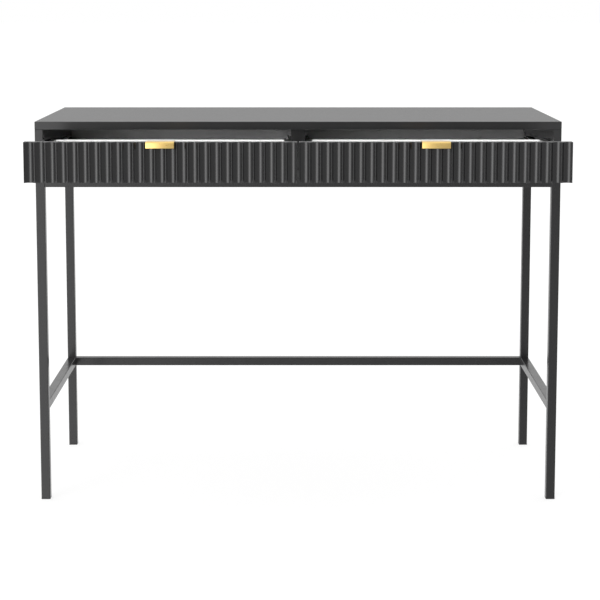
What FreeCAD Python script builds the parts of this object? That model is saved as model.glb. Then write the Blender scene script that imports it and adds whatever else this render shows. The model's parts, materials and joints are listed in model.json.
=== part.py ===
import FreeCAD, Part
import Sketcher

import os

# A writing desk: a board case with two drawers with fluted fronts, on a welded square-tube frame.
# Origin: on the floor, midway between the four feet. +X is the sitter's right, +Y the back, +Z up.
# Both drawers stand pulled out to their stops.

doc = FreeCAD.newDocument("writing_desk")

# ---------------------------------------------------------------- driving dimensions, millimetres
DIMENSIONS = [
    ("width", 1040), ("depth", 450), ("height", 766), ("board", 16), ("case_base", 654),
    ("back_board", 12), ("divider", 28), ("divider_setback", 20), ("arris", 0.8),
    ("tube", 18), ("tube_wall", 1.5), ("tube_corner", 1.2), ("foot_pad", 3), ("foot_plug", 12),
    ("plug_play", 0.2), ("stretcher_base", 184),
    ("front_width", 500), ("front_height", 75), ("front_thick", 18), ("centre_gap", 3),
    ("front_base", 672.5), ("front_arris", 0.5), ("flute_pitch", 20), ("flute_chord", 18),
    ("flute_radius", 11), ("flute_count", 25),
    ("travel", 264), ("box_side", 12), ("box_long", 350), ("box_base", 676), ("box_top", 723),
    ("side_play", 2), ("tray_base", 680), ("tray_thick", 4), ("tray_groove", 5),
    ("slide_mid", 700), ("slide_groove", 18), ("slide_groove_depth", 8), ("slide_long", 348),
    ("slide_sheet", 1), ("fixed_rail_rise", 17), ("fixed_rail_reach", 8),
    ("moving_rail_rise", 8), ("moving_rail_reach", 7), ("rail_start", 20),
    ("cage_long", 80), ("cage_start", 22), ("cage_sheet", 0.8), ("cage_web_inset", 1.4),
    ("cage_rise", 12.4), ("cage_reach", 6.1), ("ball_radius", 1.5), ("ball_pitch", 15),
    ("ball_from_web", 3.6),
    ("pull_long", 52), ("pull_sheet", 1.5), ("pull_reach", 14), ("pull_drop", 10.5),
    ("pull_tab", 12), ("pull_bend", 3.5),
]
sheet = doc.addObject("Spreadsheet::Sheet", "Dims")
for row, (alias, value) in enumerate(DIMENSIONS, start=1):
    sheet.set("A%d" % row, alias)
    sheet.set("B%d" % row, str(value))
    sheet.setAlias("B%d" % row, alias)
doc.recompute()
size = {alias: float(sheet.get(alias)) for alias, value in DIMENSIONS}

FRONT_PLANE = "(-Dims.depth / 2)"
DRAWER_FACE = "(-Dims.depth / 2 - Dims.travel)"
CASE_HALF = "(Dims.width / 2 - Dims.board)"
CASE_FLOOR = "(Dims.case_base + Dims.board)"
CASE_CEILING = "(Dims.height - Dims.board)"
SIDES = (("left", -1), ("right", 1))
ENDS = (("front", -1), ("back", 1))

nodes = []


def keep(item, name):
    """Names an object as a finished piece of the desk."""
    item.Label = name
    nodes.append(item)
    return item


def bind(item, **expressions):
    """Binds properties to expressions; a dot in a property's path is written as a double underscore."""
    for path, expression in expressions.items():
        item.setExpression(path.replace("__", "."), expression)


def put(item, x, y, z):
    """Binds an object's place."""
    bind(item, Placement__Base__x=x, Placement__Base__y=y, Placement__Base__z=z)


def from_centre(sign, near, reach):
    """The low X of a piece that starts near the desk's middle and reaches outwards on one side."""
    return near if sign > 0 else "-(%s) - (%s)" % (near, reach)


def feature(body, kind, name, length, width, height, x="0", y="0", z="0"):
    """A box-shaped PartDesign feature whose low corner is at x, y, z of its body."""
    item = body.newObject("PartDesign::" + kind, name)
    bind(item, Length=length, Width=width, Height=height)
    put(item, x, y, z)
    body.Tip = item
    return item


def board(name, length, width, height, x, y, z, arris="Dims.arris"):
    """A board with its edges eased."""
    body = doc.addObject("PartDesign::Body", name + "_body")
    block = feature(body, "AdditiveBox", name + "_block", length, width, height)
    doc.recompute()
    eased = body.newObject("PartDesign::Fillet", name + "_edges")
    eased.Base = (block, ["Edge1"])
    eased.UseAllEdges = True
    bind(eased, Radius=arris)
    body.Tip = eased
    put(body, x, y, z)
    return body


def drilled(body, tool, name):
    """A piece with a group of fasteners' holes in it."""
    cut = doc.addObject("Part::Cut", name + "_drilled")
    cut.Base = body
    cut.Tool = tool
    return keep(cut, name)


def origin_plane(body, role):
    """One of a body's own origin planes or axes."""
    return next(item for item in body.Origin.OriginFeatures if item.Role == role)


def sketch_on(body, name, role):
    """An empty sketch on one of a body's own origin planes."""
    sketch = body.newObject("Sketcher::SketchObject", name)
    sketch.AttachmentSupport = (origin_plane(body, role), [""])
    sketch.MapMode = "FlatFace"
    return sketch


def fastener_group(name, spots, shank, head, head_rise, long):
    """Screws or dowels as one group of separate solids; a spot is a head's outer centre and its way in."""
    solids = []
    for centre, inwards in spots:
        centre = FreeCAD.Vector(*centre)
        solid = Part.makeCylinder(shank, long, centre, inwards)
        if head > shank:
            solid = solid.fuse(Part.makeCone(head, shank, head_rise, centre, inwards)).removeSplitter()
        solids.append(solid)
    item = doc.addObject("Part::Feature", name + "_group")
    item.Shape = Part.makeCompound(solids)
    return keep(item, name)


# ---------------------------------------------------------------- fasteners, which the boards are drilled for
UP = FreeCAD.Vector(0, 0, 1)
RIGHT = FreeCAD.Vector(1, 0, 0)
FORWARD = FreeCAD.Vector(0, -1, 0)
half_width = size["width"] / 2
half_depth = size["depth"] / 2
rail_base = size["case_base"] - size["tube"]

FRAME_SCREW = dict(shank=2.5, head=5.0, head_rise=3.0, long=28.0)
screw_line = half_depth - size["tube"] / 2
screw_column = half_width - size["tube"] / 2
SCREWS_ALONG_FRONT = (-340, -115, 115, 340)
SCREWS_ALONG_SIDE = (-110, 110)
frame_screw_spots = [((x, y * screw_line, rail_base), UP) for x in SCREWS_ALONG_FRONT for y in (-1, 1)]
frame_screw_spots += [((x * screw_column, y, rail_base), UP) for x in (-1, 1) for y in SCREWS_ALONG_SIDE]
frame_screws = fastener_group("frame_screws", frame_screw_spots, **FRAME_SCREW)

DOWEL = dict(shank=4.0, head=4.0, head_rise=0.0, long=30.0)
DOWEL_UNDER_TOP = 20
DOWELS_ALONG_UPRIGHT = (-150, 0, 150)
dowel_base = size["height"] - size["board"] - DOWEL_UNDER_TOP
dowel_columns = (-half_width + size["board"] / 2, 0, half_width - size["board"] / 2)
dowel_spots = [((x, y, dowel_base), UP) for x in dowel_columns for y in DOWELS_ALONG_UPRIGHT]
top_dowels = fastener_group("top_dowels", dowel_spots, **DOWEL)

PULL_SCREW = dict(shank=1.5, head=3.2, head_rise=1.6, long=14.0)
PULL_SCREW_STAND = 1.0
PULL_SCREW_DROP = 7
PULL_SCREW_FROM_MIDDLE = 16
CORNER_SCREW = dict(shank=1.75, head=3.2, head_rise=2.2, long=38.0)
CORNER_SCREW_RISE = 11.6
CORNER_SCREW_DROP = 7

# ---------------------------------------------------------------- the board case
tabletop = board("tabletop", "Dims.width", "Dims.depth", "Dims.board",
                 "-Dims.width / 2", FRONT_PLANE, CASE_CEILING)
drilled(tabletop, top_dowels, "tabletop")

side_rise = "Dims.height - Dims.board - Dims.case_base"
side_drills = doc.addObject("Part::Compound", "side_drills")
side_drills.Links = [frame_screws, top_dowels]
for side, sign in SIDES:
    panel = board("side_panel_" + side, "Dims.board", "Dims.depth", side_rise,
                  from_centre(sign, CASE_HALF, "Dims.board"), FRONT_PLANE, "Dims.case_base")
    drilled(panel, side_drills, "side_panel_" + side)

bottom = board("bottom_panel", "2 * " + CASE_HALF, "Dims.depth", "Dims.board",
               "-" + CASE_HALF, FRONT_PLANE, "Dims.case_base")
drilled(bottom, frame_screws, "bottom_panel")

bay_rise = "%s - %s" % (CASE_CEILING, CASE_FLOOR)
back = board("back_panel", "2 * " + CASE_HALF, "Dims.back_board", bay_rise,
             "-" + CASE_HALF, "Dims.depth / 2 - Dims.back_board", CASE_FLOOR)
keep(back, "back_panel")

divider = board("centre_divider", "Dims.divider",
                "Dims.depth - Dims.divider_setback - Dims.back_board", bay_rise,
                "-Dims.divider / 2", FRONT_PLANE + " + Dims.divider_setback", CASE_FLOOR)
drilled(divider, top_dowels, "centre_divider")


# ---------------------------------------------------------------- the steel frame
def tube(name, long, x, y, z, rotation=None):
    """A square steel tube along its own Z, centred on its own axis."""
    body = doc.addObject("PartDesign::Body", name)
    outside = "Dims.tube"
    solid = feature(body, "AdditiveBox", name + "_outside", outside, outside, long,
                    "-Dims.tube / 2", "-Dims.tube / 2")
    doc.recompute()
    corners = [
        "Edge%d" % (index + 1)
        for index, edge in enumerate(solid.Shape.Edges)
        if abs(edge.tangentAt(edge.FirstParameter).z) > 0.9
    ]
    rounded = body.newObject("PartDesign::Fillet", name + "_corners")
    rounded.Base = (solid, corners)
    bind(rounded, Radius="Dims.tube_corner")
    body.Tip = rounded
    inside = "Dims.tube - 2 * Dims.tube_wall"
    feature(body, "SubtractiveBox", name + "_inside", inside, inside, long,
            "-Dims.tube / 2 + Dims.tube_wall", "-Dims.tube / 2 + Dims.tube_wall")
    if rotation:
        body.Placement = FreeCAD.Placement(FreeCAD.Vector(), rotation)
    put(body, x, y, z)
    return body


ALONG_X = FreeCAD.Rotation(FreeCAD.Vector(0, 1, 0), 90)
ALONG_Y = FreeCAD.Rotation(FreeCAD.Vector(1, 0, 0), -90)
LEG_COLUMN = "(Dims.width / 2 - Dims.tube / 2)"
LEG_LINE = "(Dims.depth / 2 - Dims.tube / 2)"
RAIL_MID = "Dims.case_base - Dims.tube / 2"
STRETCHER_MID = "Dims.stretcher_base + Dims.tube / 2"
SPAN_X = "Dims.width - 2 * Dims.tube"
SPAN_Y = "Dims.depth - 2 * Dims.tube"

for end, end_sign in ENDS:
    for side, sign in SIDES:
        spot = ("%d * %s" % (sign, LEG_COLUMN), "%d * %s" % (end_sign, LEG_LINE))
        leg = tube("leg_%s_%s" % (end, side), "Dims.case_base - Dims.foot_pad", *spot, "Dims.foot_pad")
        keep(leg, "leg_%s_%s" % (end, side))

        cap = doc.addObject("PartDesign::Body", "foot_cap_%s_%s" % (end, side))
        pad = feature(cap, "AdditiveBox", cap.Name + "_pad", "Dims.tube", "Dims.tube", "Dims.foot_pad",
                      "-Dims.tube / 2", "-Dims.tube / 2")
        doc.recompute()
        eased = cap.newObject("PartDesign::Fillet", cap.Name + "_edges")
        eased.Base = (pad, ["Edge1"])
        eased.UseAllEdges = True
        bind(eased, Radius="Dims.front_arris")
        cap.Tip = eased
        plug = "Dims.tube - 2 * Dims.tube_wall - Dims.plug_play"
        feature(cap, "AdditiveBox", cap.Name + "_plug", plug, plug, "Dims.foot_plug",
                "-(%s) / 2" % plug, "-(%s) / 2" % plug, "Dims.foot_pad")
        put(cap, *spot, "0")
        keep(cap, cap.Name)

for end, end_sign in ENDS:
    rail = tube("rail_%s_tube" % end, SPAN_X, "-(%s) / 2" % SPAN_X, "%d * %s" % (end_sign, LEG_LINE),
                RAIL_MID, ALONG_X)
    drilled(rail, frame_screws, "rail_" + end)
for side, sign in SIDES:
    rail = tube("rail_%s_tube" % side, SPAN_Y, "%d * %s" % (sign, LEG_COLUMN), "-(%s) / 2" % SPAN_Y,
                RAIL_MID, ALONG_Y)
    drilled(rail, frame_screws, "rail_" + side)
    stretcher = tube("stretcher_" + side, SPAN_Y, "%d * %s" % (sign, LEG_COLUMN),
                     "-(%s) / 2" % SPAN_Y, STRETCHER_MID, ALONG_Y)
    keep(stretcher, "stretcher_" + side)
stretcher = tube("stretcher_back", SPAN_X, "-(%s) / 2" % SPAN_X, LEG_LINE, STRETCHER_MID, ALONG_X)
keep(stretcher, "stretcher_back")


# ---------------------------------------------------------------- one ball-bearing slide in three pieces
def channel(name, wall, away, rise, reach, start, long):
    """A C-shaped rail whose web stands against a wall; away is the X direction of its flanges."""
    body = doc.addObject("PartDesign::Body", name)
    low = "0" if away > 0 else "-(%s)" % reach
    feature(body, "AdditiveBox", name + "_bar", reach, long, rise, low, "0", "-(%s) / 2" % rise)
    hollow = "%s - 2 * Dims.slide_sheet" % rise
    inside = "Dims.slide_sheet" if away > 0 else "-(%s)" % reach
    feature(body, "SubtractiveBox", name + "_hollow", "%s - Dims.slide_sheet" % reach, long, hollow,
            inside, "0", "-(%s) / 2" % hollow)
    put(body, wall, start, "Dims.slide_mid")
    return keep(body, name)


def ball_cage(name, wall, away):
    """The strip of balls between a slide's two rails; it travels half as far as the drawer."""
    web = size["cage_web_inset"]
    sheet_mm = size["cage_sheet"]
    reach = size["cage_reach"]
    rise = size["cage_rise"]
    long = size["cage_long"]
    start = -half_depth + size["cage_start"]
    shape = Part.makeBox(sheet_mm, long, rise, FreeCAD.Vector(web, 0, -rise / 2))
    for level in (-rise / 2, rise / 2 - sheet_mm):
        shape = shape.fuse(Part.makeBox(reach, long, sheet_mm, FreeCAD.Vector(web, 0, level)))
    balls = int(long // size["ball_pitch"])
    first = (long - (balls - 1) * size["ball_pitch"]) / 2
    for index in range(balls):
        for level in (-rise / 2 + sheet_mm / 2, rise / 2 - sheet_mm / 2):
            centre = FreeCAD.Vector(web + size["ball_from_web"], first + index * size["ball_pitch"], level)
            shape = shape.fuse(Part.makeSphere(size["ball_radius"], centre))
    if away < 0:
        shape = shape.mirror(FreeCAD.Vector(), RIGHT)
    item = doc.addObject("Part::Feature", name)
    item.Shape = shape
    item.Placement = FreeCAD.Placement(FreeCAD.Vector(wall, start, size["slide_mid"]), FreeCAD.Rotation())
    return keep(item, name)


# ---------------------------------------------------------------- the drawers
def edges_where(shape, test):
    """The names of a shape's edges whose middle passes a test."""
    return ["Edge%d" % (n + 1) for n, edge in enumerate(shape.Edges) if test(edge.CenterOfMass, edge)]


def fluted_front(name, x):
    """A front board with round flutes side by side along its whole face."""
    body = board(name, "Dims.front_width", "Dims.front_thick", "Dims.front_height",
                 x, DRAWER_FACE, "Dims.front_base", "Dims.front_arris")
    sketch = sketch_on(body, name + "_flute_sketch", "XY_Plane")
    axis_ahead = (size["flute_radius"] ** 2 - (size["flute_chord"] / 2) ** 2) ** 0.5
    axis = FreeCAD.Vector(size["flute_pitch"] / 2, -axis_ahead, 0)
    circle = Part.Circle(axis, UP, size["flute_radius"])
    sketch.addGeometry(circle, False)
    radius = sketch.addConstraint(Sketcher.Constraint("Radius", 0, size["flute_radius"]))
    across = sketch.addConstraint(Sketcher.Constraint("DistanceX", -1, 1, 0, 3, size["flute_pitch"] / 2))
    ahead = sketch.addConstraint(Sketcher.Constraint("DistanceY", 0, 3, -1, 1, axis_ahead))
    for index, word in ((radius, "radius"), (across, "across"), (ahead, "ahead")):
        sketch.renameConstraint(index, word)
    sketch.setExpression("Constraints.radius", "Dims.flute_radius")
    sketch.setExpression("Constraints.across", "Dims.flute_pitch / 2")
    sketch.setExpression(
        "Constraints.ahead", "sqrt(Dims.flute_radius ^ 2 - (Dims.flute_chord / 2) ^ 2)"
    )
    doc.recompute()
    before = body.Shape.Volume
    pocket = body.newObject("PartDesign::Pocket", name + "_flute")
    pocket.Profile = sketch
    pocket.Type = "ThroughAll"
    pocket.Reversed = True
    body.Tip = pocket
    doc.recompute()
    one = before - body.Shape.Volume
    pattern = body.newObject("PartDesign::LinearPattern", name + "_flutes")
    pattern.Originals = [pocket]
    pattern.Direction = (origin_plane(body, "X_Axis"), [""])
    bind(pattern, Length="Dims.flute_pitch * (Dims.flute_count - 1)", Occurrences="Dims.flute_count")
    body.Tip = pattern
    doc.recompute()
    cut = before - body.Shape.Volume
    print(name, "one flute", round(one, 1), "all flutes", round(cut, 1), "ratio", round(cut / one, 3))
    return body


def edge_pull(name, middle, screws):
    """A bent brass strip over the front's top edge: a lip in front to pull and a tab behind to fix it."""
    body = doc.addObject("PartDesign::Body", name + "_body")
    plate_long = "Dims.pull_reach + Dims.front_thick + Dims.pull_sheet"
    feature(body, "AdditiveBox", name + "_plate", "Dims.pull_long", plate_long, "Dims.pull_sheet",
            "0", "-Dims.pull_reach", "0")
    lip_rise = "Dims.pull_drop + Dims.pull_sheet"
    feature(body, "AdditiveBox", name + "_lip", "Dims.pull_long", "Dims.pull_sheet", lip_rise,
            "0", "-Dims.pull_reach", "-Dims.pull_drop")
    tab_rise = "Dims.pull_tab + Dims.pull_sheet"
    tab = feature(body, "AdditiveBox", name + "_tab", "Dims.pull_long", "Dims.pull_sheet", tab_rise,
                  "0", "Dims.front_thick", "-Dims.pull_tab")
    doc.recompute()
    top, reach, bend = size["pull_sheet"], size["pull_reach"], size["pull_bend"]

    def outer_bend(point, edge):
        return abs(point.z - top) < 0.01 and abs(point.y + reach) < 0.01

    def inner_bend(point, edge):
        return abs(point.z) < 0.01 and abs(point.y + reach - top) < 0.01

    for word, test, radius in (("outer", outer_bend, "Dims.pull_bend"),
                               ("inner", inner_bend, "Dims.pull_bend - Dims.pull_sheet")):
        base = body.Tip
        rounded = body.newObject("PartDesign::Fillet", "%s_%s_bend" % (name, word))
        rounded.Base = (base, edges_where(base.Shape, test))
        bind(rounded, Radius=radius)
        body.Tip = rounded
        doc.recompute()
    put(body, "%s - Dims.pull_long / 2" % middle, DRAWER_FACE, "Dims.front_base + Dims.front_height")
    return drilled(body, screws, name)


box_long = size["box_long"]
box_start = "(%s + Dims.front_thick)" % DRAWER_FACE
for side, sign in SIDES:
    drawer = "drawer_%s_" % side
    bay_near = "Dims.divider / 2"
    front_x = from_centre(sign, "Dims.centre_gap / 2", "Dims.front_width")
    middle_mm = sign * (size["centre_gap"] + size["front_width"]) / 2
    middle = "%d * (Dims.centre_gap / 2 + Dims.front_width / 2)" % sign
    face_mm = -half_depth - size["travel"]
    behind_mm = face_mm + size["front_thick"]
    top_mm = size["front_base"] + size["front_height"]

    pull_back = behind_mm + size["pull_sheet"] + PULL_SCREW_STAND
    pull_spots = [
        ((middle_mm + gap * PULL_SCREW_FROM_MIDDLE, pull_back, top_mm - PULL_SCREW_DROP), FORWARD)
        for gap in (-1, 1)
    ]
    pull_screws = fastener_group(drawer + "pull_screws", pull_spots, **PULL_SCREW)
    drilled(fluted_front(drawer + "front_board", front_x), pull_screws, drawer + "front")
    edge_pull(drawer + "pull", middle, pull_screws)

    near_mm = size["divider"] / 2 + size["side_play"]
    far_mm = half_width - size["board"] - size["side_play"]
    corner_y = behind_mm + box_long - size["box_side"] / 2
    corner_spots = [
        ((sign * wall_mm, corner_y, level), FreeCAD.Vector(sign * inward, 0, 0))
        for wall_mm, inward in ((near_mm, 1), (far_mm, -1))
        for level in (size["box_base"] + CORNER_SCREW_RISE, size["box_top"] - CORNER_SCREW_DROP)
    ]
    corner_screws = fastener_group(drawer + "corner_screws", corner_spots, **CORNER_SCREW)

    near = "Dims.divider / 2 + Dims.side_play"
    far = CASE_HALF + " - Dims.side_play - Dims.box_side"
    box_rise = "Dims.box_top - Dims.box_base"
    for wall, place, inward in (("inner_side", near, 1), ("outer_side", far, -1)):
        name = drawer + wall
        panel = board(name, "Dims.box_side", "Dims.box_long", box_rise,
                      from_centre(sign, place, "Dims.box_side"), box_start, "Dims.box_base")
        outward = -sign * inward
        slot_x = "Dims.box_side - Dims.slide_groove_depth" if outward > 0 else "0"
        feature(panel, "SubtractiveBox", name + "_slide_groove", "Dims.slide_groove_depth",
                "Dims.box_long", "Dims.slide_groove", slot_x, "0",
                "Dims.slide_mid - Dims.slide_groove / 2 - Dims.box_base")
        tray_x = "0" if outward > 0 else "Dims.box_side - Dims.tray_groove"
        feature(panel, "SubtractiveBox", name + "_tray_groove", "Dims.tray_groove", "Dims.box_long",
                "Dims.tray_thick", tray_x, "0", "Dims.tray_base - Dims.box_base")
        drilled(panel, corner_screws, name)

    inside_near = "%s + Dims.box_side" % near
    inside_wide = "%s - (%s)" % (far, inside_near)
    rear = board(drawer + "back", inside_wide, "Dims.box_side",
                 "Dims.box_top - Dims.tray_base - Dims.tray_thick",
                 from_centre(sign, inside_near, inside_wide),
                 "%s + Dims.box_long - Dims.box_side" % box_start, "Dims.tray_base + Dims.tray_thick")
    drilled(rear, corner_screws, drawer + "back")
    tray_near = "%s - Dims.tray_groove" % inside_near
    tray_wide = "%s + 2 * Dims.tray_groove" % inside_wide
    tray = doc.addObject("Part::Box", drawer + "bottom")
    bind(tray, Length=tray_wide, Width="Dims.box_long", Height="Dims.tray_thick")
    put(tray, from_centre(sign, tray_near, tray_wide), box_start, "Dims.tray_base")
    keep(tray, drawer + "bottom")

    fixed_start = "%s + Dims.rail_start" % FRONT_PLANE
    moving_start = "%s + Dims.rail_start" % DRAWER_FACE
    for wall, place, place_mm, away in (
        ("inner", bay_near, size["divider"] / 2, 1),
        ("outer", CASE_HALF, half_width - size["board"], -1),
    ):
        toward = sign * away
        wall_x = "%d * (%s)" % (sign, place)
        channel("slide_%s_%s_fixed_rail" % (side, wall), wall_x, toward, "Dims.fixed_rail_rise",
                "Dims.fixed_rail_reach", fixed_start, "Dims.slide_long")
        groove_x = "%s + %d * (Dims.side_play + Dims.slide_groove_depth)" % (wall_x, toward)
        channel("slide_%s_%s_moving_rail" % (side, wall), groove_x, -toward, "Dims.moving_rail_rise",
                "Dims.moving_rail_reach", moving_start, "Dims.slide_long")
        ball_cage("slide_%s_%s_ball_cage" % (side, wall), sign * place_mm, toward)

doc.recompute()

# ---------------------------------------------------------------- checks, then one STEP file per piece
failed = [item.Name for item in doc.Objects if "Invalid" in item.State or "Error" in item.State]
if failed:
    raise RuntimeError("failed objects: " + ", ".join(failed))
bad = [item.Label for item in nodes if item.Shape.isNull() or not item.Shape.isValid()]
if bad:
    raise RuntimeError("bad shapes: " + ", ".join(bad))

os.makedirs("parts", exist_ok=True)
for item in nodes:
    item.Shape.exportStep("parts/%s.step" % item.Label)
print(len(nodes), "pieces written")
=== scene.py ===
# %% [markdown]
# # A black writing desk with two fluted drawers
# The desk is a flat board case on a thin steel frame. The frame file gives every piece at its real
# size, in metres. This lesson gives the pieces their finishes and makes the ones whose shape shows:
# the fluted fronts, the bent brass pulls, the slides and the screws.

# %% Load the frame
import json
import math

import bmesh
import bpy
from mathutils import Matrix, Vector

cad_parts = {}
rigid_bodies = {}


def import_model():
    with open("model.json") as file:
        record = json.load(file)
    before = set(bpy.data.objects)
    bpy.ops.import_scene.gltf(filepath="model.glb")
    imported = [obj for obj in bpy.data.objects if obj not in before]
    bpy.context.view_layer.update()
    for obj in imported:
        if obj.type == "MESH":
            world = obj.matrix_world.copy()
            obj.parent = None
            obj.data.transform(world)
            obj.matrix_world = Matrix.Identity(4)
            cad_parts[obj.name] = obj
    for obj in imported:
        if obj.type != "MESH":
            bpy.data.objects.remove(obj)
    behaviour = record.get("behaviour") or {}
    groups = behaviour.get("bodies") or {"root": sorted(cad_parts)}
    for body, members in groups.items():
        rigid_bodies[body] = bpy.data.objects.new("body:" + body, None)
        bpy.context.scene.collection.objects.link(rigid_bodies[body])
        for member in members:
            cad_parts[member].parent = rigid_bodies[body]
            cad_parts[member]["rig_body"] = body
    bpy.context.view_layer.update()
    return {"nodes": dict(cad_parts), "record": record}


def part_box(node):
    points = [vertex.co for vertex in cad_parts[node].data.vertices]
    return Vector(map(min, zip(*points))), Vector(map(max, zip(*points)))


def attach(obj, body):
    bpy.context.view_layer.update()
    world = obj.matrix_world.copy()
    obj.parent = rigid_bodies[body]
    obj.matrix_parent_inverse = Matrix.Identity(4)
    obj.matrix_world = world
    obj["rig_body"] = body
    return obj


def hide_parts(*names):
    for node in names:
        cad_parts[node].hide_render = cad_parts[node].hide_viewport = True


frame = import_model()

nodes = frame["nodes"]
MM = 0.001

# %% [markdown]
# ## Tools for finishes
# Every finish here is a Principled shader with three small additions: the colour drifts a little
# over the surface, the roughness is uneven, and a fine bump stops reflections from looking like
# glass. The patterns read Object coordinates, so they are in metres and stay at their real scale.


# %% Small node helpers
def add_node(tree, kind, **values):
    """Adds a node and sets its plain properties and its inputs by name."""
    node = tree.nodes.new(kind)
    for name, value in values.items():
        if hasattr(node, name):
            setattr(node, name, value)
        else:
            node.inputs[name.replace("_", " ")].default_value = value
    return node


def wire(tree, source, out, target, socket):
    tree.links.new(source.outputs[out], target.inputs[socket])


def object_noise(tree, scale, detail=3.0, stretch=(1.0, 1.0, 1.0)):
    """Noise in Object coordinates; stretch makes it longer along an axis."""
    place = add_node(tree, "ShaderNodeTexCoord")
    mapping = add_node(tree, "ShaderNodeMapping")
    mapping.inputs["Scale"].default_value = stretch
    noise = add_node(tree, "ShaderNodeTexNoise", Scale=scale, Detail=detail, Roughness=0.55)
    wire(tree, place, "Object", mapping, "Vector")
    wire(tree, mapping, "Vector", noise, "Vector")
    return noise


def remap(tree, source, out, low, high, start=0.3, end=0.7):
    """Turns a 0 to 1 pattern into a range of values."""
    node = add_node(tree, "ShaderNodeMapRange")
    node.inputs["From Min"].default_value = start
    node.inputs["From Max"].default_value = end
    node.inputs["To Min"].default_value = low
    node.inputs["To Max"].default_value = high
    wire(tree, source, out, node, "Value")
    return node


def blend_colours(tree, factor, out, first, second):
    """Mixes two colours by a pattern; sockets 6 and 7 are the Mix node's colours, output 2 its result."""
    node = add_node(tree, "ShaderNodeMix", data_type="RGBA")
    node.inputs[6].default_value = (*first, 1.0)
    node.inputs[7].default_value = (*second, 1.0)
    tree.links.new(factor.outputs[out], node.inputs[0])
    return node.outputs[2]


UNEVEN_FINENESS = 9


def base_finish(name, dark, light, rough, drift_scale=6.0, metallic=0.0, specular=0.5):
    """A Principled finish whose colour and roughness drift slowly over the surface."""
    finish = bpy.data.materials.new(name)
    finish.use_nodes = True
    tree = finish.node_tree
    shader = tree.nodes["Principled BSDF"]
    shader.inputs["Metallic"].default_value = metallic
    shader.inputs["Specular IOR Level"].default_value = specular
    drift = object_noise(tree, drift_scale)
    colour = blend_colours(tree, drift, "Fac", dark, light)
    tree.links.new(colour, shader.inputs["Base Color"])
    uneven = object_noise(tree, drift_scale * UNEVEN_FINENESS, detail=4.0)
    roughness = remap(tree, uneven, "Fac", *rough)
    wire(tree, roughness, "Result", shader, "Roughness")
    return finish, tree, shader


def fine_bump(tree, shader, scale, height, detail=2.0, stretch=(1.0, 1.0, 1.0)):
    """A fine surface texture; height is its depth in metres."""
    grain = object_noise(tree, scale, detail, stretch)
    bump = add_node(tree, "ShaderNodeBump", Strength=1.0, Distance=height)
    wire(tree, grain, "Fac", bump, "Height")
    wire(tree, bump, "Normal", shader, "Normal")


print("finish tools ready")

# %% [markdown]
# ## The finishes
# The case is board with a satin black foil, and the fronts are milled fibreboard with satin black
# lacquer. The steel is powder coated, which has the faint orange-peel of melted powder. The drawer
# boxes are white board. The pulls are brushed brass, and the slides and screws are zinc plated.
# A picture of each surface could be wrapped round the pieces, but noise in Object coordinates needs
# no unwrapping and runs on without a seam from board to board, so every finish is made that way.


# %% Black finishes
def make_black_board():
    finish, tree, shader = base_finish("satin_black_board", (0.0155, 0.0155, 0.016),
                                       (0.0185, 0.0185, 0.019), (0.19, 0.23))
    fine_bump(tree, shader, scale=1400.0, height=0.000002)
    return finish


def make_black_hardboard():
    finish, tree, shader = base_finish("matt_black_hardboard", (0.028, 0.028, 0.028),
                                       (0.042, 0.042, 0.042), (0.50, 0.62), specular=0.35)
    fine_bump(tree, shader, scale=900.0, height=0.00002, detail=4.0)
    return finish


def make_black_front():
    finish, tree, shader = base_finish("satin_black_lacquer", (0.0085, 0.0085, 0.009),
                                       (0.0115, 0.0115, 0.012), (0.15, 0.18))
    fine_bump(tree, shader, scale=1100.0, height=0.000003)
    return finish


def make_black_steel():
    finish, tree, shader = base_finish("black_powder_coat", (0.0085, 0.0085, 0.009),
                                       (0.0115, 0.0115, 0.012), (0.22, 0.27))
    fine_bump(tree, shader, scale=1900.0, height=0.0000025)
    return finish


def make_black_plastic():
    finish, tree, shader = base_finish("moulded_black_plastic", (0.008, 0.008, 0.008),
                                       (0.014, 0.014, 0.014), (0.42, 0.55))
    fine_bump(tree, shader, scale=2600.0, height=0.000012)
    return finish


print("black finishes ready")

# %% White, brass, zinc and beech finishes
def make_white_board():
    finish, tree, shader = base_finish("white_melamine", (0.80, 0.80, 0.79), (0.86, 0.86, 0.85),
                                       (0.36, 0.46))
    fine_bump(tree, shader, scale=1600.0, height=0.000006)
    return finish


def make_brass():
    finish, tree, shader = base_finish("brushed_brass", (0.72, 0.505, 0.175), (0.76, 0.54, 0.195),
                                       (0.27, 0.30), drift_scale=30.0, metallic=1.0)
    fine_bump(tree, shader, scale=1500.0, height=0.0000035, detail=3.0, stretch=(0.03, 1.0, 1.0))
    return finish


def make_zinc():
    finish, tree, shader = base_finish("bright_zinc", (0.52, 0.53, 0.54), (0.68, 0.69, 0.70),
                                       (0.26, 0.42), drift_scale=60.0, metallic=1.0)
    fine_bump(tree, shader, scale=900.0, height=0.000004)
    return finish


def make_beech():
    finish, tree, shader = base_finish("plain_beech", (0.50, 0.33, 0.18), (0.66, 0.47, 0.29),
                                       (0.50, 0.65), drift_scale=90.0)
    fine_bump(tree, shader, scale=600.0, height=0.00002, stretch=(1.0, 1.0, 0.08))
    return finish


finishes = {
    "black_board": make_black_board(),
    "black_front": make_black_front(),
    "black_steel": make_black_steel(),
    "black_plastic": make_black_plastic(),
    "white_board": make_white_board(),
    "brass_pull": make_brass(),
    "zinc_steel": make_zinc(),
    "beech": make_beech(),
}
print("finishes:", ", ".join(sorted(finishes)))

# %% [markdown]
# ## Painting the frame's own pieces
# The boards, the tubes and the foot caps already have their real shape. They could be modelled
# again, but that would only copy them, so they stay and get the finish that the record names for
# them. The back board alone gets a duller black, because it is a plain hardboard sheet.

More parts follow.
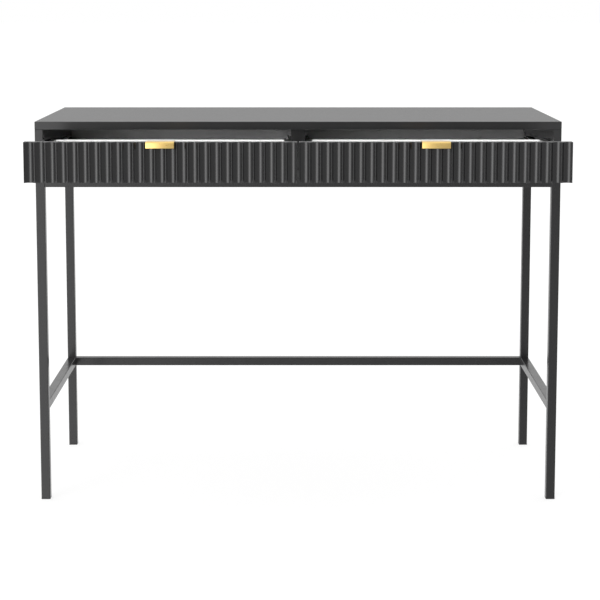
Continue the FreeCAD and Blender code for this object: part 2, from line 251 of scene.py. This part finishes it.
# %% Give every node its finish
slot_of = {part["node"]: part["material_slot"] for part in frame["record"]["subparts"]}
for name, node in nodes.items():
    node.data.materials.clear()
    node.data.materials.append(finishes[slot_of[name]])
nodes["back_panel"].data.materials[0] = make_black_hardboard()
print("painted", len(slot_of), "nodes")

# %% [markdown]
# ## Tools for new pieces
# A new piece is made as a mesh in the desk's own place, with its object left at the origin. It then
# rides on a body and stands for a node, whose own mesh is hidden.


# %% Mesh tools
def piece_from(name, mesh, finish):
    """Links a mesh as an object at the origin with one finish."""
    mesh.materials.clear()
    mesh.materials.append(finish)
    item = bpy.data.objects.new(name, mesh)
    bpy.context.scene.collection.objects.link(item)
    return item


def settle(item, sharp_degrees=35.0):
    """Turns a piece and its modifiers into one plain mesh with smooth curves and crisp edges."""
    shape = item.evaluated_get(bpy.context.evaluated_depsgraph_get())
    mesh = bpy.data.meshes.new_from_object(shape)
    item.modifiers.clear()
    item.data = mesh
    work = bmesh.new()
    work.from_mesh(mesh)
    bmesh.ops.remove_doubles(work, verts=work.verts, dist=0.000001)
    bmesh.ops.recalc_face_normals(work, faces=work.faces)
    work.to_mesh(mesh)
    work.free()
    mesh.shade_smooth()
    mesh.set_sharp_from_angle(angle=math.radians(sharp_degrees))
    return item


def stand_for(item, node):
    """The piece replaces a node: it rides on the same body, and the node is hidden."""
    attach(item, nodes[node]["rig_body"])
    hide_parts(node)
    return item


def soften_edges(item, width, segments=3, angle=40.0):
    bevel = item.modifiers.new("eased edges", "BEVEL")
    bevel.width = width
    bevel.segments = segments
    bevel.limit_method = "ANGLE"
    bevel.angle_limit = math.radians(angle)
    bevel.use_clamp_overlap = True


print("mesh tools ready")

# %% [markdown]
# ## Fluted fronts
# Each front is a board with round flutes side by side, milled from top to bottom. The rule is
# simple: along the face, every point of a flute lies on a circle, and a narrow flat ridge is left
# between two flutes. Geometry Nodes can follow such a rule. A ring of points is moved to the front's
# outline, the outline is filled and raised to the front's height, and a bevel eases the edges.


# %% Tools for node trees
def new_geometry_tree(name, inputs):
    """A geometry node group with named inputs and one geometry output."""
    tree = bpy.data.node_groups.new(name, "GeometryNodeTree")
    sockets = {}
    for label, kind, value in inputs:
        socket = tree.interface.new_socket(label, in_out="INPUT", socket_type=kind)
        if value is not None:
            socket.default_value = value
        sockets[label] = socket.identifier
    tree.interface.new_socket("Geometry", in_out="OUTPUT", socket_type="NodeSocketGeometry")
    entry = tree.nodes.new("NodeGroupInput")
    leave = tree.nodes.new("NodeGroupOutput")
    return tree, sockets, entry, leave


def end_tree(tree, last, finish, leave):
    """Every tree ends alike: copies are made real, then take their finish."""
    real = tree.nodes.new("GeometryNodeRealizeInstances")
    coat = tree.nodes.new("GeometryNodeSetMaterial")
    tree.links.new(last.outputs[0], real.inputs[0])
    tree.links.new(real.outputs[0], coat.inputs["Geometry"])
    tree.links.new(finish, coat.inputs["Material"])
    tree.links.new(coat.outputs[0], leave.inputs[0])


class Sums:
    """Writes arithmetic on fields as math nodes."""

    def __init__(self, tree):
        self.tree = tree

    def do(self, operation, first, second=0.0, third=0.0):
        node = self.tree.nodes.new("ShaderNodeMath")
        node.operation = operation
        for index, value in enumerate((first, second, third)):
            if isinstance(value, (int, float)):
                node.inputs[index].default_value = value
            else:
                self.tree.links.new(value, node.inputs[index])
        return node.outputs[0]


def run_tree(item, tree, sockets, values):
    """Adds a geometry node tree to a piece and sets the tree's inputs by their identifiers."""
    maker = item.modifiers.new("maker", "NODES")
    maker.node_group = tree
    for label, value in values.items():
        maker[sockets[label]] = value


print("tree tools ready")

# %% Node tree of a fluted front
POINTS_PER_FLUTE = 15
WELD = 0.01 * MM


def fluted_front_tree():
    inputs = [("Length", "NodeSocketFloat", 0.5), ("Thickness", "NodeSocketFloat", 0.018),
              ("Height", "NodeSocketFloat", 0.075), ("Flutes", "NodeSocketInt", 25),
              ("Radius", "NodeSocketFloat", 0.011), ("Chord", "NodeSocketFloat", 0.018),
              ("Finish", "NodeSocketMaterial", None)]
    tree, sockets, entry, leave = new_geometry_tree("fluted front", inputs)
    sums = Sums(tree)
    value = {socket.name: socket for socket in entry.outputs}
    across = sums.do("MULTIPLY", value["Flutes"], float(POINTS_PER_FLUTE))
    ring = tree.nodes.new("GeometryNodeMeshCircle")
    ring.fill_type = "NGON"
    tree.links.new(sums.do("ADD", across, 4.0), ring.inputs["Vertices"])
    index = tree.nodes.new("GeometryNodeInputIndex").outputs[0]

    flute = sums.do("FLOOR", sums.do("DIVIDE", sums.do("ADD", index, 0.5), float(POINTS_PER_FLUTE)))
    step = sums.do("SUBTRACT", index, sums.do("MULTIPLY", flute, float(POINTS_PER_FLUTE)))
    widest = sums.do("ARCSINE", sums.do("DIVIDE", sums.do("MULTIPLY", value["Chord"], 0.5),
                                        value["Radius"]))
    share = sums.do("DIVIDE", step, float(POINTS_PER_FLUTE - 1))
    angle = sums.do("MULTIPLY", sums.do("SUBTRACT", sums.do("MULTIPLY", share, 2.0), 1.0), widest)
    pitch = sums.do("DIVIDE", value["Length"], value["Flutes"])
    middle = sums.do("MULTIPLY", sums.do("ADD", flute, 0.5), pitch)
    flute_x = sums.do("ADD", middle, sums.do("MULTIPLY", value["Radius"], sums.do("SINE", angle)))
    rise = sums.do("SUBTRACT", sums.do("COSINE", angle), sums.do("COSINE", widest))
    flute_y = sums.do("MULTIPLY", value["Radius"], rise)

    # The last four points are the front's corners: right front, right back, left back, left front.
    corner = sums.do("SUBTRACT", index, across)
    is_corner = sums.do("GREATER_THAN", corner, -0.5)
    is_back = sums.do("COMPARE", corner, 1.5, 0.6)
    is_right = sums.do("LESS_THAN", corner, 1.5)
    corner_x = sums.do("MULTIPLY", is_right, value["Length"])
    corner_y = sums.do("MULTIPLY", is_back, value["Thickness"])
    place = tree.nodes.new("ShaderNodeCombineXYZ")
    for socket, plain, turned in ((0, flute_x, corner_x), (1, flute_y, corner_y)):
        rest = sums.do("MULTIPLY", plain, sums.do("SUBTRACT", 1.0, is_corner))
        tree.links.new(sums.do("MULTIPLY_ADD", turned, is_corner, rest), place.inputs[socket])
    move = tree.nodes.new("GeometryNodeSetPosition")
    tree.links.new(ring.outputs[0], move.inputs["Geometry"])
    tree.links.new(place.outputs[0], move.inputs["Position"])

    raised = tree.nodes.new("GeometryNodeExtrudeMesh")
    raised.inputs["Individual"].default_value = False
    way_up = tree.nodes.new("ShaderNodeCombineXYZ")
    way_up.inputs["Z"].default_value = 1.0
    tree.links.new(move.outputs[0], raised.inputs["Mesh"])
    tree.links.new(way_up.outputs[0], raised.inputs["Offset"])
    tree.links.new(value["Height"], raised.inputs["Offset Scale"])
    under = tree.nodes.new("GeometryNodeFlipFaces")
    tree.links.new(move.outputs[0], under.inputs[0])
    whole = tree.nodes.new("GeometryNodeJoinGeometry")
    tree.links.new(raised.outputs["Mesh"], whole.inputs[0])
    tree.links.new(under.outputs[0], whole.inputs[0])
    sealed = tree.nodes.new("GeometryNodeMergeByDistance")
    sealed.inputs["Distance"].default_value = WELD
    tree.links.new(whole.outputs[0], sealed.inputs["Geometry"])
    end_tree(tree, sealed, value["Finish"], leave)
    return tree, sockets


front_tree, front_sockets = fluted_front_tree()
print("fluted front tree:", len(front_tree.nodes), "nodes")

# %% Make the two fronts
FLUTES = 25
FLUTE_RADIUS = 11 * MM
FLUTE_CHORD = 18 * MM
RIDGE_EASE = 0.35 * MM


def fluted_front(node):
    low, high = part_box(node)
    span = high - low
    item = piece_from(node + "_fluted", bpy.data.meshes.new(node), finishes["black_front"])
    run_tree(item, front_tree, front_sockets, {
        "Length": span.x, "Thickness": span.y, "Height": span.z, "Flutes": FLUTES,
        "Radius": FLUTE_RADIUS, "Chord": FLUTE_CHORD, "Finish": finishes["black_front"]})
    soften_edges(item, RIDGE_EASE)
    settle(item)
    item.data.transform(Matrix.Translation(low))
    return stand_for(item, node)


for side in ("left", "right"):
    front = fluted_front("drawer_%s_front" % side)
    print(front.name, len(front.data.polygons), "faces")

# %% [markdown]
# ## Bent strips: the pulls and the slide rails
# A pull and a slide rail are both sheet metal folded along straight lines. One tool makes them all:
# it rounds the corners of a folded line, gives the line its sheet thickness to one side, and
# stretches the result along the fold.


# %% A folded strip
def rounded_path(corners, radius, steps=6):
    """The corner points of a flat path with each inner corner replaced by an arc."""
    points = [Vector(corners[0])]
    for before, here, after in zip(corners, corners[1:], corners[2:]):
        here = Vector(here)
        back = (Vector(before) - here).normalized()
        ahead = (Vector(after) - here).normalized()
        half = back.angle(ahead) / 2
        reach = radius / math.tan(half)
        centre = here + (back + ahead).normalized() * (radius / math.sin(half))
        start = here + back * reach - centre
        turn = math.pi - 2 * half
        way = 1.0 if back.x * ahead.y - back.y * ahead.x < 0 else -1.0
        for step in range(steps + 1):
            angle = way * turn * step / steps
            cos, sin = math.cos(angle), math.sin(angle)
            arm = Vector((start.x * cos - start.y * sin, start.x * sin + start.y * cos))
            points.append(centre + arm)
    points.append(Vector(corners[-1]))
    return points


def offset_path(points, distance):
    """The same path moved sideways by a distance, to its left."""
    moved = []
    for index, point in enumerate(points):
        before = points[max(index - 1, 0)]
        after = points[min(index + 1, len(points) - 1)]
        along = (after - before).normalized()
        turn = 1.0
        if 0 < index < len(points) - 1:
            turn = math.cos((point - before).angle(after - point) / 2)
        moved.append(point + Vector((-along.y, along.x)) * (distance / turn))
    return moved


def folded_strip(name, corners, radius, thickness, start, end, axis, finish):
    """A strip folded along corners (given in the plane across axis) from start to end on that axis."""
    middle = rounded_path(corners, radius)
    outline = offset_path(middle, thickness / 2) + offset_path(middle, -thickness / 2)[::-1]

    def at(point, along):
        return (along, point.x, point.y) if axis == "X" else (point.x, along, point.y)

    work = bmesh.new()
    rings = [[work.verts.new(at(point, along)) for point in outline] for along in (start, end)]
    work.faces.new(rings[0])
    work.faces.new(rings[1][::-1])
    count = len(outline)
    for index in range(count):
        after = (index + 1) % count
        work.faces.new((rings[0][after], rings[0][index], rings[1][index], rings[1][after]))
    bmesh.ops.recalc_face_normals(work, faces=work.faces)
    mesh = bpy.data.meshes.new(name)
    work.to_mesh(mesh)
    work.free()
    return piece_from(name, mesh, finish)


print("folding tool ready")

# %% [markdown]
# ## Brass edge pulls
# The pull is a strip of brass folded over the front's top edge. Its long face in front is the lip
# that the fingers hook behind, and the short one behind is screwed to the board. Plates joined at
# right angles would look sawn, so the strip is folded with a soft outer radius, which is where the
# light draws its brightest line.

# %% Fold the pulls
PULL_SHEET = 1.5 * MM
PULL_FOLD = 3.5 * MM
PULL_LIP = 12 * MM


def edge_pull(node):
    low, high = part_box(node)
    half = PULL_SHEET / 2
    corners = [(low.y + half, high.z - PULL_LIP), (low.y + half, high.z - half),
               (high.y - half, high.z - half), (high.y - half, low.z)]
    item = folded_strip(node + "_folded", corners, PULL_FOLD, PULL_SHEET, low.x, high.x, "X",
                        finishes["brass_pull"])
    soften_edges(item, 0.3 * MM, segments=3)
    settle(item, 30.0)
    return stand_for(item, node)


for side in ("left", "right"):
    pull = edge_pull("drawer_%s_pull" % side)
    print(pull.name, len(pull.data.polygons), "faces")

# %% [markdown]
# ## The slides
# Each drawer hangs on two ball-bearing slides that sit in grooves in its sides. A slide is three
# folded pieces: a rail on the case, a smaller rail on the drawer, and between them a cage of balls
# that rolls half as far as the drawer. The rails are C-shaped strips, so the folding tool makes them.

# %% Fold the rails
SLIDE_SHEET = 1.0 * MM
SLIDE_FOLD = 0.9 * MM


def slide_rail(node, web_is_low):
    """A C-shaped rail along Y whose flat web is at its low or high X side."""
    low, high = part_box(node)
    half = SLIDE_SHEET / 2
    web, tip = (low.x + half, high.x) if web_is_low else (high.x - half, low.x)
    corners = [(tip, low.z + half), (web, low.z + half), (web, high.z - half), (tip, high.z - half)]
    item = folded_strip(node + "_folded", corners, SLIDE_FOLD, SLIDE_SHEET, low.y, high.y, "Y",
                        finishes["zinc_steel"])
    soften_edges(item, 0.15 * MM, segments=2)
    settle(item)
    return stand_for(item, node)


SLIDES = (("left", "inner", False), ("left", "outer", True),
          ("right", "inner", True), ("right", "outer", False))
for side, wall, web_low in SLIDES:
    fixed = slide_rail("slide_%s_%s_fixed_rail" % (side, wall), web_low)
    moving = slide_rail("slide_%s_%s_moving_rail" % (side, wall), not web_low)
    print(fixed.name, "and", moving.name)

# %% [markdown]
# ## Ball cages
# A cage is a thin folded strip that keeps the balls apart while they roll between the two rails.
# The strip is folded with the same tool. The balls follow a rule, two rows at an even pitch, so a
# Geometry Nodes tree sets them out on a grid of points.


# %% Node tree of two rows of balls
def ball_rows_tree():
    inputs = [("Strip", "NodeSocketGeometry", None), ("Balls", "NodeSocketInt", 5),
              ("Pitch", "NodeSocketFloat", 0.015), ("Rows Apart", "NodeSocketFloat", 0.0116),
              ("Ball Radius", "NodeSocketFloat", 0.0015), ("Middle", "NodeSocketVector", None),
              ("Finish", "NodeSocketMaterial", None)]
    tree, sockets, entry, leave = new_geometry_tree("ball rows", inputs)
    sums = Sums(tree)
    value = {socket.name: socket for socket in entry.outputs}
    rows = tree.nodes.new("GeometryNodeMeshGrid")
    gaps = sums.do("SUBTRACT", value["Balls"], 1.0)
    tree.links.new(sums.do("MULTIPLY", gaps, value["Pitch"]), rows.inputs["Size X"])
    tree.links.new(value["Rows Apart"], rows.inputs["Size Y"])
    tree.links.new(value["Balls"], rows.inputs["Vertices X"])
    rows.inputs["Vertices Y"].default_value = 2
    upright = tree.nodes.new("GeometryNodeTransform")
    upright.inputs["Rotation"].default_value = (math.pi / 2, 0.0, math.pi / 2)
    tree.links.new(rows.outputs["Mesh"], upright.inputs["Geometry"])
    tree.links.new(value["Middle"], upright.inputs["Translation"])
    ball = tree.nodes.new("GeometryNodeMeshUVSphere")
    ball.inputs["Segments"].default_value = 20
    ball.inputs["Rings"].default_value = 12
    tree.links.new(value["Ball Radius"], ball.inputs["Radius"])
    spread = tree.nodes.new("GeometryNodeInstanceOnPoints")
    tree.links.new(upright.outputs[0], spread.inputs["Points"])
    tree.links.new(ball.outputs["Mesh"], spread.inputs["Instance"])
    whole = tree.nodes.new("GeometryNodeJoinGeometry")
    tree.links.new(value["Strip"], whole.inputs[0])
    tree.links.new(spread.outputs[0], whole.inputs[0])
    end_tree(tree, whole, value["Finish"], leave)
    return tree, sockets


ball_tree, ball_sockets = ball_rows_tree()
print("ball rows tree:", len(ball_tree.nodes), "nodes")

# %% Fold the cages and set out the balls
CAGE_SHEET = 0.8 * MM
CAGE_FOLD = 0.7 * MM
BALL_RADIUS = 1.5 * MM
BALL_PITCH = 15 * MM
BALLS = 5
BALL_FROM_WEB = 3.6 * MM


def ball_cage(node, web_is_low):
    low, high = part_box(node)
    half = CAGE_SHEET / 2
    bottom = low.z + BALL_RADIUS - half
    top = high.z - BALL_RADIUS + half
    web, tip = (low.x + half, high.x) if web_is_low else (high.x - half, low.x)
    corners = [(tip, bottom + half), (web, bottom + half), (web, top - half), (tip, top - half)]
    item = folded_strip(node + "_with_balls", corners, CAGE_FOLD, CAGE_SHEET, low.y, high.y, "Y",
                        finishes["zinc_steel"])
    ball_x = low.x + BALL_FROM_WEB if web_is_low else high.x - BALL_FROM_WEB
    middle = (ball_x, (low.y + high.y) / 2, (low.z + high.z) / 2)
    run_tree(item, ball_tree, ball_sockets, {
        "Balls": BALLS, "Pitch": BALL_PITCH, "Rows Apart": top - bottom - CAGE_SHEET,
        "Ball Radius": BALL_RADIUS, "Middle": middle, "Finish": finishes["zinc_steel"]})
    settle(item)
    return stand_for(item, node)


for side, wall, web_low in SLIDES:
    cage = ball_cage("slide_%s_%s_ball_cage" % (side, wall), web_low)
    print(cage.name, len(cage.data.polygons), "faces")

# %% [markdown]
# ## Screws
# A wood screw follows a rule from head to point: a cone for the countersunk head, then a thread
# that winds round the shank, then a point. So one Geometry Nodes tree bends a plain cylinder to that
# rule, cuts a cross into the head, and sets a copy on every spot. Each spot carries the way that
# its head faces. The spots are read from the frame's own screws.


# %% Node tree of a screw
SCREW_SIDES = 24
RINGS_PER_TURN = 5.0
ROOT_SHARE = 0.7
THREAD_SHARE = 0.28
THREAD_SHARPNESS = 1.6
PLAIN_NECK = 1.6
POINT_SHANKS = 2.6
BLUNT_POINT = 0.06
CROSS_LENGTH = 1.15
CROSS_WIDTH = 0.26
CROSS_DEPTHS = (1.3, 1.2)


def screw_tree():
    inputs = [("Spots", "NodeSocketGeometry", None), ("Length", "NodeSocketFloat", 0.028),
              ("Head", "NodeSocketFloat", 0.005), ("Head Rise", "NodeSocketFloat", 0.003),
              ("Shank", "NodeSocketFloat", 0.0025), ("Thread Pitch", "NodeSocketFloat", 0.0016),
              ("Finish", "NodeSocketMaterial", None)]
    tree, sockets, entry, leave = new_geometry_tree("cross head screws", inputs)
    sums = Sums(tree)
    value = {socket.name: socket for socket in entry.outputs}
    rod = tree.nodes.new("GeometryNodeMeshCylinder")
    rod.inputs["Vertices"].default_value = SCREW_SIDES
    rod.inputs["Radius"].default_value = 0.01
    turns = sums.do("DIVIDE", value["Length"], value["Thread Pitch"])
    tree.links.new(sums.do("MULTIPLY", turns, RINGS_PER_TURN), rod.inputs["Side Segments"])
    tree.links.new(value["Length"], rod.inputs["Depth"])

    at = tree.nodes.new("ShaderNodeSeparateXYZ")
    tree.links.new(tree.nodes.new("GeometryNodeInputPosition").outputs[0], at.inputs[0])
    x, y, z = at.outputs
    deep = sums.do("SUBTRACT", sums.do("MULTIPLY", value["Length"], 0.5), z)
    angle = sums.do("ARCTAN2", y, x)
    turn_count = sums.do("DIVIDE", deep, value["Thread Pitch"])
    winding = sums.do("MULTIPLY_ADD", angle, 0.5 / math.pi, turn_count)
    wave = sums.do("MULTIPLY", sums.do("PINGPONG", winding, 0.5), 2.0)
    ridge = sums.do("POWER", wave, THREAD_SHARPNESS)
    neck = sums.do("MULTIPLY", value["Head Rise"], PLAIN_NECK)
    ridge = sums.do("MULTIPLY", ridge, sums.do("GREATER_THAN", deep, neck))
    share = sums.do("MULTIPLY_ADD", ridge, THREAD_SHARE, ROOT_SHARE)
    thread = sums.do("MULTIPLY", value["Shank"], share)
    to_tip = sums.do("SUBTRACT", value["Length"], deep)
    taper = sums.do("DIVIDE", to_tip, sums.do("MULTIPLY", value["Shank"], POINT_SHANKS))
    taper = sums.do("MAXIMUM", sums.do("MINIMUM", taper, 1.0), BLUNT_POINT)
    thread = sums.do("MULTIPLY", thread, taper)
    overhang = sums.do("SUBTRACT", value["Head"], value["Shank"])
    slope = sums.do("DIVIDE", overhang, value["Head Rise"])
    cone = sums.do("SUBTRACT", value["Head"], sums.do("MULTIPLY", deep, slope))
    radius = sums.do("MAXIMUM", cone, thread)
    place = tree.nodes.new("ShaderNodeCombineXYZ")
    tree.links.new(sums.do("MULTIPLY", radius, sums.do("COSINE", angle)), place.inputs[0])
    tree.links.new(sums.do("MULTIPLY", radius, sums.do("SINE", angle)), place.inputs[1])
    tree.links.new(sums.do("MULTIPLY", deep, -1.0), place.inputs[2])
    bent = tree.nodes.new("GeometryNodeSetPosition")
    tree.links.new(rod.outputs["Mesh"], bent.inputs["Geometry"])
    tree.links.new(place.outputs[0], bent.inputs["Position"])

    # The two arms of the cross end at different depths, so that the cut stays closed.
    cross = tree.nodes.new("GeometryNodeMeshBoolean")
    cross.operation = "DIFFERENCE"
    tree.links.new(bent.outputs[0], cross.inputs["Mesh 1"])
    long_arm = sums.do("MULTIPLY", value["Head"], CROSS_LENGTH)
    short_arm = sums.do("MULTIPLY", value["Head"], CROSS_WIDTH)
    arms = ((long_arm, short_arm), (short_arm, long_arm))
    for (first, second), depth in zip(arms, CROSS_DEPTHS):
        arm = tree.nodes.new("GeometryNodeMeshCube")
        extent = tree.nodes.new("ShaderNodeCombineXYZ")
        tree.links.new(first, extent.inputs[0])
        tree.links.new(second, extent.inputs[1])
        tree.links.new(sums.do("MULTIPLY", value["Head Rise"], depth), extent.inputs[2])
        tree.links.new(extent.outputs[0], arm.inputs["Size"])
        tree.links.new(arm.outputs["Mesh"], cross.inputs["Mesh 2"])

    way = tree.nodes.new("GeometryNodeInputNamedAttribute")
    way.data_type = "FLOAT_VECTOR"
    way.inputs["Name"].default_value = "way"
    turn = tree.nodes.new("FunctionNodeAlignRotationToVector")
    turn.axis = "Z"
    tree.links.new(way.outputs["Attribute"], turn.inputs["Vector"])
    spread = tree.nodes.new("GeometryNodeInstanceOnPoints")
    tree.links.new(value["Spots"], spread.inputs["Points"])
    tree.links.new(cross.outputs["Mesh"], spread.inputs["Instance"])
    tree.links.new(turn.outputs["Rotation"], spread.inputs["Rotation"])
    end_tree(tree, spread, value["Finish"], leave)
    return tree, sockets


screws_tree, screw_sockets = screw_tree()
print("screw tree:", len(screws_tree.nodes), "nodes")


# %% Read the spots from the frame's screws
NEAR = 0.1 * MM


def screw_spots(node):
    """The middle of each head and the way it faces, and the screw's sizes, from a node's solids."""
    work = bmesh.new()
    work.from_mesh(nodes[node].data)
    bmesh.ops.remove_doubles(work, verts=work.verts, dist=0.000001)
    seen = set()
    spots = []
    for start in work.verts:
        if start in seen:
            continue
        seen.add(start)
        island = [start]
        for vert in island:
            for edge in vert.link_edges:
                other = edge.other_vert(vert)
                if other not in seen:
                    seen.add(other)
                    island.append(other)
        low = Vector([min(vert.co[axis] for vert in island) for axis in range(3)])
        high = Vector([max(vert.co[axis] for vert in island) for axis in range(3)])
        span = high - low
        axis = max(range(3), key=lambda n: span[n])
        middle = (low + high) / 2
        reach = {}
        for end in (low[axis], high[axis]):
            near = [vert.co - middle for vert in island if abs(vert.co[axis] - end) < NEAR]
            flat = [Vector([0.0 if n == axis else co[n] for n in range(3)]).length for co in near]
            reach[end] = max(flat)
        head_end = max(reach, key=reach.get)
        middle[axis] = head_end
        way = Vector((0.0, 0.0, 0.0))
        way[axis] = 1.0 if head_end > low[axis] else -1.0
        sizes = [round(size, 6) for size in (span[axis], max(reach.values()), min(reach.values()))]
        spots.append((middle, way, *sizes))
    work.free()
    return spots


print("frame screws:", len(screw_spots("frame_screws")), "spots")


# %% Set the screws
def screw_group(node, head_rise, pitch):
    spots = screw_spots(node)
    mesh = bpy.data.meshes.new(node + "_spots")
    mesh.from_pydata([spot[0] for spot in spots], [], [])
    ways = mesh.attributes.new("way", "FLOAT_VECTOR", "POINT")
    ways.data.foreach_set("vector", [number for spot in spots for number in spot[1]])
    item = piece_from(node + "_threaded", mesh, finishes["zinc_steel"])
    run_tree(item, screws_tree, screw_sockets, {
        "Length": spots[0][2], "Head": spots[0][3], "Head Rise": head_rise, "Shank": spots[0][4],
        "Thread Pitch": pitch, "Finish": finishes["zinc_steel"]})
    settle(item, 30.0)
    return stand_for(item, node)


SCREW_GROUPS = [("frame_screws", 3.0 * MM, 1.8 * MM)]
for side in ("left", "right"):
    SCREW_GROUPS.append(("drawer_%s_pull_screws" % side, 1.6 * MM, 1.0 * MM))
    SCREW_GROUPS.append(("drawer_%s_corner_screws" % side, 2.2 * MM, 1.4 * MM))
for node, head_rise, pitch in SCREW_GROUPS:
    group = screw_group(node, head_rise, pitch)
    print(group.name, len(group.data.polygons), "faces")

# %% [markdown]
# ## Camera, floor and light
# The camera stands in front of the desk, a little above the top. The floor is a plain pale sheet.
# Lamps would give hard glints on satin black, so the light is one soft world: pale all round, with a
# wide bright window in front and to the left, which draws a line down every flute. Little of it
# reaches the inside of the case, so two low lamps light one piece each in there and nothing else.

# %% Camera
CAMERA_AHEAD = 3.4339
CAMERA_HEIGHT = 1.0115
CAMERA_TILT = 0.12714
FOCAL = 104.62
SENSOR = 36.0
SHIFT_ACROSS = 1.9 / 600
SHIFT_DOWN = -0.135

front_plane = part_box("tabletop")[0].y
camera_data = bpy.data.cameras.new("camera")
camera_data.sensor_width = SENSOR
camera_data.lens = FOCAL
camera_data.shift_x = SHIFT_ACROSS
camera_data.shift_y = SHIFT_DOWN
camera = bpy.data.objects.new("camera", camera_data)
camera.location = (0.0, front_plane - CAMERA_AHEAD, CAMERA_HEIGHT)
camera.rotation_euler = (math.pi / 2 - CAMERA_TILT, 0.0, 0.0)
bpy.context.scene.collection.objects.link(camera)
bpy.context.scene.camera = camera
bpy.context.scene.view_settings.view_transform = "Standard"
print("camera", tuple(round(v, 3) for v in camera.location))


# %% Floor
FLOOR_TONE = 0.25
FLOOR_GLOW = 0.78
FLOOR_REACH = 60.0


def make_floor():
    finish = bpy.data.materials.new("pale_floor")
    finish.use_nodes = True
    tree = finish.node_tree
    shader = tree.nodes["Principled BSDF"]
    shader.inputs["Base Color"].default_value = (FLOOR_TONE, FLOOR_TONE, FLOOR_TONE, 1.0)
    shader.inputs["Roughness"].default_value = 0.9
    shader.inputs["Specular IOR Level"].default_value = 0.0
    shader.inputs["Emission Color"].default_value = (1.0, 1.0, 1.0, 1.0)
    shader.inputs["Emission Strength"].default_value = FLOOR_GLOW
    work = bmesh.new()
    bmesh.ops.create_grid(work, x_segments=1, y_segments=1, size=FLOOR_REACH)
    mesh = bpy.data.meshes.new("floor")
    work.to_mesh(mesh)
    work.free()
    floor = piece_from("floor", mesh, finish)
    floor.visible_glossy = False
    return floor


floor = make_floor()
print("floor", FLOOR_REACH * 2, "metres wide")


# %% World light
DEGREE = math.pi / 180
AROUND = 0.74
RIGHT_SHARE = 0.86
OVERHEAD = 0.5
WINDOW = 1.7
WINDOW_RIGHT = (5.8 * DEGREE, 8.6 * DEGREE)
WINDOW_LEFT = (52 * DEGREE, 58 * DEGREE)
CORE = 2.5
CORE_RIGHT = (18 * DEGREE, 33 * DEGREE)
CORE_LEFT = (33 * DEGREE, 48 * DEGREE)


def make_world():
    """Pale surroundings with a wide bright window, angles counted to the left from straight ahead."""
    world = bpy.data.worlds.new("studio")
    bpy.context.scene.world = world
    world.use_nodes = True
    tree = world.node_tree
    sums = Sums(tree)
    way = tree.nodes.new("ShaderNodeSeparateXYZ")
    coords = tree.nodes.new("ShaderNodeTexCoord")
    tree.links.new(coords.outputs["Generated"], way.inputs[0])
    x, y, z = way.outputs

    def ramp(value, start, end, low=0.0, high=1.0):
        node = tree.nodes.new("ShaderNodeMapRange")
        node.interpolation_type = "SMOOTHSTEP"
        ends = {"From Min": start, "From Max": end, "To Min": low, "To Max": high}
        for label, number in ends.items():
            node.inputs[label].default_value = number
        tree.links.new(value, node.inputs["Value"])
        return node.outputs["Result"]

    left = sums.do("ARCTAN2", sums.do("MULTIPLY", x, -1.0), sums.do("MULTIPLY", y, -1.0))
    window = sums.do("MULTIPLY", ramp(left, *WINDOW_RIGHT), ramp(left, *WINDOW_LEFT, 1.0, 0.0))
    core = sums.do("MULTIPLY", ramp(left, *CORE_RIGHT), ramp(left, *CORE_LEFT, 1.0, 0.0))
    tall = sums.do("MULTIPLY", ramp(z, -0.75, -0.45), ramp(z, 0.55, 0.8, 1.0, 0.0))
    both = sums.do("MULTIPLY_ADD", core, CORE, sums.do("MULTIPLY", window, WINDOW))
    glow = sums.do("MULTIPLY", tall, both)
    behind = ramp(y, -0.1, 0.35)
    back_light = sums.do("ADD", ramp(z, -0.12, -0.02, 0.92, 0.20), ramp(z, 0.02, 0.25, 0.0, 0.90))
    front_light = ramp(left, -16 * DEGREE, -6 * DEGREE, AROUND * RIGHT_SHARE, AROUND)
    around = sums.do("MULTIPLY_ADD", behind, sums.do("SUBTRACT", back_light, front_light), front_light)
    overhead = sums.do("MULTIPLY", ramp(z, 0.5, 0.95), OVERHEAD)
    total = sums.do("ADD", sums.do("ADD", around, overhead), glow)
    # The camera itself sees plain white behind the desk.
    seen = tree.nodes.new("ShaderNodeLightPath").outputs["Is Camera Ray"]
    shown = sums.do("MAXIMUM", total, seen)
    shown = sums.do("MINIMUM", shown, sums.do("MULTIPLY_ADD", seen, -99.0, 100.0))
    background = tree.nodes["Background"]
    tree.links.new(shown, background.inputs["Strength"])
    background.inputs["Color"].default_value = (1.0, 1.0, 1.0, 1.0)


make_world()
print("world light ready")


# %% Low lamps for the inside of the case
LAMP_SOFTNESS = 36.0


def low_lamp(name, strength, left, height, receivers):
    """A soft low lamp in front, so many degrees left and high, that lights only the named pieces."""
    light = bpy.data.lights.new(name, "SUN")
    light.energy = strength
    light.angle = math.radians(LAMP_SOFTNESS)
    lamp = bpy.data.objects.new(name, light)
    lamp.rotation_euler = (math.radians(90.0 - height), 0.0, -math.radians(left))
    bpy.context.scene.collection.objects.link(lamp)
    lit = bpy.data.collections.new(name + "_lights")
    for node in receivers:
        lit.objects.link(nodes[node])
    lamp.light_linking.receiver_collection = lit


low_lamp("back_lamp", strength=42.0, left=14.0, height=5.0, receivers=["back_panel"])
low_lamp("box_lamp", strength=5.4, left=3.0, height=8.0,
         receivers=["drawer_left_back", "drawer_right_back"])
print("lamps ready")
